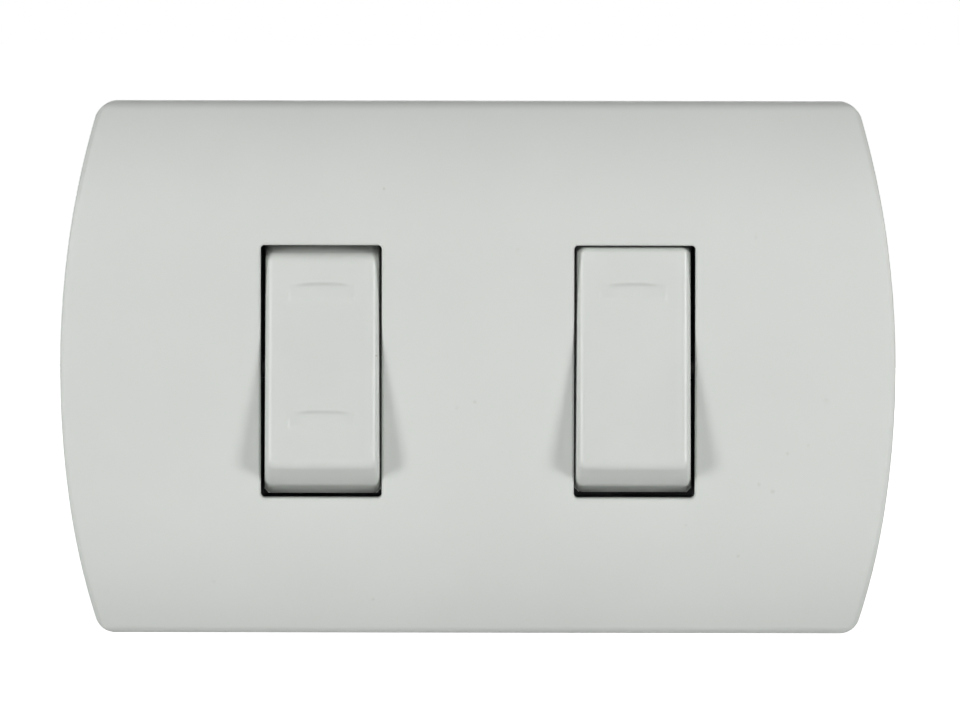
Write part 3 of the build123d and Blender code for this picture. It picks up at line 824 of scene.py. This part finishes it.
def makeCoil(name, nodeName, bodyName, spec):
    low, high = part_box(nodeName)
    middle = (low + high) / 2
    axis = Vector((0.0, -cos(radians(spec["tilt"])), sin(radians(spec["tilt"]))))
    across = Vector((1.0, 0.0, 0.0))
    aside = axis.cross(across)
    steps = spec["turns"] * spec["aroundTurn"]
    work = bmesh.new()
    rings = []
    for step in range(steps + 1):
        share = step / steps
        turned = 2 * pi * spec["turns"] * share
        closed = share - sin(2 * pi * share) / (2 * pi) * spec["closing"]
        out = across * cos(turned) + aside * sin(turned)
        along = spec["length"] * (closed - 0.5) + spec["lift"]
        centre = middle + axis * along + out * spec["radius"]
        ring = []
        for point in range(spec["aroundWire"]):
            angle = 2 * pi * point / spec["aroundWire"]
            spoke = out * cos(angle) + axis * sin(angle)
            ring.append(work.verts.new(centre + spoke * spec["wire"]))
        rings.append(ring)
    for first, second in zip(rings, rings[1:]):
        for point in range(spec["aroundWire"]):
            after = (point + 1) % spec["aroundWire"]
            work.faces.new((first[point], first[after], second[after], second[point]))
    work.faces.new(rings[0][::-1])
    work.faces.new(rings[-1])
    bmesh.ops.recalc_face_normals(work, faces=work.faces)
    mesh = meshFrom(work, name)
    for face in mesh.polygons:
        face.use_smooth = len(face.vertices) == 4
    placePiece(name, mesh, "spring", bodyName, nodeName)


for hand in ("left", "right"):
    makeCoil(hand + "SpringCoil", hand + "_spring", hand + "_rocker", coil)
print("springs wound")

# slotted screws with rolled threads
boxScrew = {
    "head": 0.0033,
    "headHeight": 0.0022,
    "seat": 0.98,  # of the head's radius
    "seatEdge": 0.0001,
    "edge": 0.0007,
    "edgeSteps": 4,
    "slotWidth": 0.0009,
    "slotDepth": 0.001,
    "slotReach": 1.2,
    "shank": 0.00175,
    "root": 0.00142,
    "pitch": 0.0006,
    "threadSlope": 1.7,
    "threadFloor": 0.35,
    "plain": 0.0018,
    "tip": 0.8,  # of the root's radius
    "around": 48,
    "rowsPerTurn": 8,
    "sharp": 32.0,
}
terminalScrew = dict(boxScrew, head=0.003, edge=0.0005, plain=0.0)


def addScrew(work, origin, axis, slotAlong, length, spec):
    # axis points from the head to the tip, origin is under the head
    side = slotAlong.normalized()
    across = axis.cross(side)
    around = spec["around"]

    def threadAt(angle, height):
        phase = (height / spec["pitch"] - angle / (2 * pi)) % 1.0
        ridge = clamped(spec["threadSlope"] * abs(2 * phase - 1) - spec["threadFloor"])
        fade = clamped((length - height) / (2 * spec["pitch"]))
        run = clamped((height - spec["plain"]) / spec["pitch"])
        return spec["root"] + (spec["shank"] - spec["root"]) * ridge * min(fade, run)

    def ringAt(height, radius=None):
        # a ring without a radius follows the thread
        ring = []
        for step in range(around):
            angle = 2 * pi * step / around
            reach = threadAt(angle, height) if radius is None else radius
            spoke = side * cos(angle) + across * sin(angle)
            ring.append(work.verts.new(origin + axis * height + spoke * reach))
        return ring

    def skin(rings):
        for first, second in zip(rings, rings[1:]):
            for step in range(around):
                after = (step + 1) % around
                work.faces.new((first[step], second[step], second[after], first[after]))

    rows = int(length / spec["pitch"] * spec["rowsPerTurn"])
    rings = [ringAt(length * row / rows) for row in range(rows + 1)]
    tip = ringAt(length, spec["root"] * spec["tip"])
    skin(rings + [tip])
    work.faces.new(tip)
    # the head: a flat seat, an upright rim and a rounded edge, still without its slot
    rim = spec["headHeight"] - spec["edge"]
    bead = [ringAt(0.0, spec["head"] * spec["seat"]), ringAt(-spec["seatEdge"], spec["head"])]
    bead.append(ringAt(-rim, spec["head"]))
    for step in range(1, spec["edgeSteps"] + 1):
        angle = step * pi / (2 * spec["edgeSteps"])
        radius = spec["head"] - spec["edge"] * (1 - cos(angle))
        bead.append(ringAt(-(rim + spec["edge"] * sin(angle)), radius))
    skin([rings[0]] + bead)
    work.faces.new(bead[-1][::-1])


def makeScrews(name, nodeName, slotName, places, axis, slotAlong, length, spec):
    work = bmesh.new()
    for origin in places:
        addScrew(work, origin, axis, slotAlong, length, spec)
    bmesh.ops.recalc_face_normals(work, faces=work.faces)
    screws = addObject(name + "Blank", meshFrom(work, name))
    # the driver slots
    knife = bmesh.new()
    reach = spec["slotReach"] * spec["head"]
    turn = Matrix((slotAlong, axis.cross(slotAlong), -axis)).transposed().to_4x4()
    size = Matrix.Diagonal((2 * reach, spec["slotWidth"], 2 * spec["slotDepth"], 1.0))
    for origin in places:
        bottom = origin - axis * (spec["headHeight"] - spec["slotDepth"])
        centre = Matrix.Translation(bottom - axis * spec["slotDepth"])
        bmesh.ops.create_cube(knife, size=1.0, matrix=centre @ turn @ size)
    cutter = addObject(name + "Knife", meshFrom(knife, name + "Knife"))
    cut = screws.modifiers.new("slot", "BOOLEAN")
    cut.object = cutter
    cut.operation = "DIFFERENCE"
    cut.solver = "EXACT"
    bpy.context.view_layer.update()
    slotted = screws.evaluated_get(bpy.context.evaluated_depsgraph_get())
    mesh = bpy.data.meshes.new_from_object(slotted)
    mesh.name = name
    bpy.data.objects.remove(screws)
    bpy.data.objects.remove(cutter)
    shadeSmooth(mesh, spec["sharp"])
    placePiece(name, mesh, slotName, "housing", nodeName)


low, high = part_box("box_screws")
seat = low.y + boxScrew["headHeight"]
reach = boxScrew["head"]
makeScrews(
    "threadedBoxScrews",
    "box_screws",
    "box_screw",
    [Vector((low.x + reach, seat, 0.0)), Vector((high.x - reach, seat, 0.0))],
    Vector((0, 1, 0)),
    Vector((0, 0, 1)),
    high.y - seat,
    boxScrew,
)
for hand in ("left", "right"):
    low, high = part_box(hand + "_terminal_screws")
    seat = high.y - terminalScrew["headHeight"]
    middle = (low.x + high.x) / 2
    reach = terminalScrew["head"]
    heights = [0.0, low.z + reach] + ([high.z - reach] if hand == "left" else [])
    makeScrews(
        hand + "TerminalScrewSet",
        hand + "_terminal_screws",
        "terminal_screw",
        [Vector((middle, seat, height)) for height in heights],
        Vector((0, -1, 0)),
        Vector((1, 0, 0)),
        seat - low.y,
        terminalScrew,
    )
print("screws cut")

# pale floor well below the plate, and a grey surround, both white to the camera and to reflections
stage = {
    "size": 6.0,
    "drop": 0.045,
    "colour": (236, 236, 236),
    "fibreShade": 4,
    "fibreScale": 900.0,
    "fibreBump": 0.05,
    "fibreDepth": 0.0002,
    "roughness": 0.9,
    "lift": 0.9,
}
surround = {"grey": 0.09}


def whiteRays(tree):
    # 1 for the rays that find a white background
    path = addNode(tree, "ShaderNodeLightPath").outputs
    seen = calc(tree, "MAXIMUM", path["Is Camera Ray"], path["Is Glossy Ray"])
    return calc(tree, "MAXIMUM", seen, path["Is Transmission Ray"])


def makeFloor(spec):
    half = spec["size"] / 2
    level = cadBox[0][2] - spec["drop"]
    mesh = bpy.data.meshes.new("paleFloor")
    corners = [(-half, -half), (half, -half), (half, half), (-half, half)]
    mesh.from_pydata([(x, y, level) for x, y in corners], [], [(0, 1, 2, 3)])
    floor = addObject("paleFloor", mesh)
    material, tree, shader = startMaterial("floorPaper")
    place = addNode(tree, "ShaderNodeTexCoord").outputs["Object"]
    fibres = noise(tree, place, spec["fibreScale"], detail=3.0, roughness=0.6)
    darker = [shade - spec["fibreShade"] for shade in spec["colour"]]
    shade = blend(tree, fibres, srgb(*spec["colour"]), srgb(*darker))
    feed(tree, shade, shader.inputs["Base Color"])
    shader.inputs["Roughness"].default_value = spec["roughness"]
    bump(tree, shader, fibres, spec["fibreBump"], spec["fibreDepth"])
    strength = calc(tree, "MULTIPLY", whiteRays(tree), spec["lift"])
    glow = addNode(tree, "ShaderNodeEmission", None, {"Strength": strength})
    both = addNode(tree, "ShaderNodeAddShader", None, {0: shader.outputs[0], 1: glow.outputs[0]})
    tree.links.new(both.outputs[0], tree.nodes["Material Output"].inputs["Surface"])
    mesh.materials.append(material)


def makeSurround(spec):
    world = bpy.data.worlds.new("surround")
    scene.world = world
    world.use_nodes = True
    tree = world.node_tree
    background = tree.nodes["Background"].inputs
    feed(tree, blend(tree, whiteRays(tree), grey(spec["grey"]), grey(1.0)), background["Color"])
    background["Strength"].default_value = 1.0


makeFloor(stage)
makeSurround(surround)
print("floor and surround made")
